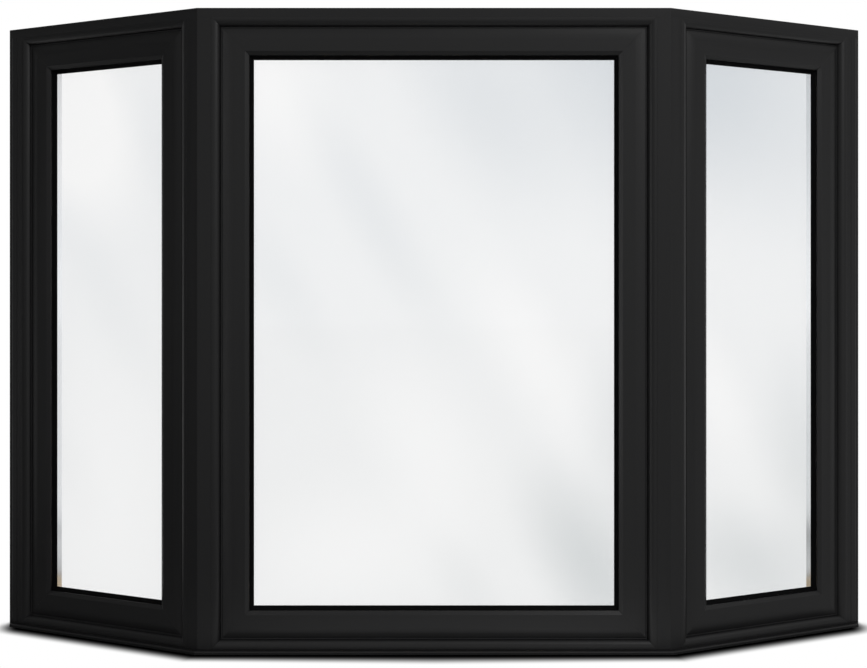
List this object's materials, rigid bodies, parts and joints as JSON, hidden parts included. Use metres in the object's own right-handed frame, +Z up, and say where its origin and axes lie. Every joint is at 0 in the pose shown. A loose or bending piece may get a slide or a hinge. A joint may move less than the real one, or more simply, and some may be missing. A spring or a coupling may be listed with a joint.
{
  "type": "bay window",
  "caption": "Three-sided bay window with satin black frames, a wide fixed centre pane, narrow angled casements at 30 degrees, and plywood head, seat and wall jambs.",
  "frame": {"origin": "on the underside, in the middle of the width, where the outside plane of the wall cuts it", "axes": "+X along the wall, to the right as seen from outside; +Y into the building; +Z up"},
  "size_m": [1.851, 0.3905, 1.297],
  "materials": {
    "frame": "satin black",
    "sash": "satin black",
    "cladding": "satin black powder coat",
    "glass": "clear float",
    "spacer": "mill finish",
    "gasket": "matt",
    "birch_plywood": "clear lacquered veneer",
    "softwood_post": "planed",
    "hardware": "satin black"
  },
  "bodies": {
    "root": {"centre_frame_head": "frame", "centre_frame_left_jamb": "frame", "centre_frame_right_jamb": "frame", "centre_frame_sill": "frame", "centre_glass": "glass", "centre_sash_bottom_rail": "sash", "centre_sash_left_stile": "sash", "centre_sash_right_stile": "sash", "centre_sash_top_rail": "sash", "glazing_beads": "sash", "glazing_gaskets": "gasket", "glazing_spacers": "spacer", "head_board": "birch_plywood", "head_cover": "cladding", "left_crank_operator": "hardware", "left_end_cover": "cladding", "left_end_post": "softwood_post", "left_frame_head": "frame", "left_frame_left_jamb": "frame", "left_frame_right_jamb": "frame", "left_frame_sill": "frame", "left_glass": "glass", "left_mull_cover": "cladding", "left_mull_post": "softwood_post", "left_mull_trim": "cladding", "left_sash_bottom_rail": "sash", "left_sash_left_stile": "sash", "left_sash_lock": "hardware", "left_sash_right_stile": "sash", "left_sash_top_rail": "sash", "left_wall_jamb": "birch_plywood", "right_crank_operator": "hardware", "right_end_cover": "cladding", "right_end_post": "softwood_post", "right_frame_head": "frame", "right_frame_left_jamb": "frame", "right_frame_right_jamb": "frame", "right_frame_sill": "frame", "right_glass": "glass", "right_mull_cover": "cladding", "right_mull_post": "softwood_post", "right_mull_trim": "cladding", "right_sash_bottom_rail": "sash", "right_sash_left_stile": "sash", "right_sash_lock": "hardware", "right_sash_right_stile": "sash", "right_sash_top_rail": "sash", "right_wall_jamb": "birch_plywood", "seat_board": "birch_plywood", "sill_nosing": "cladding"}
  },
  "joints": []
}
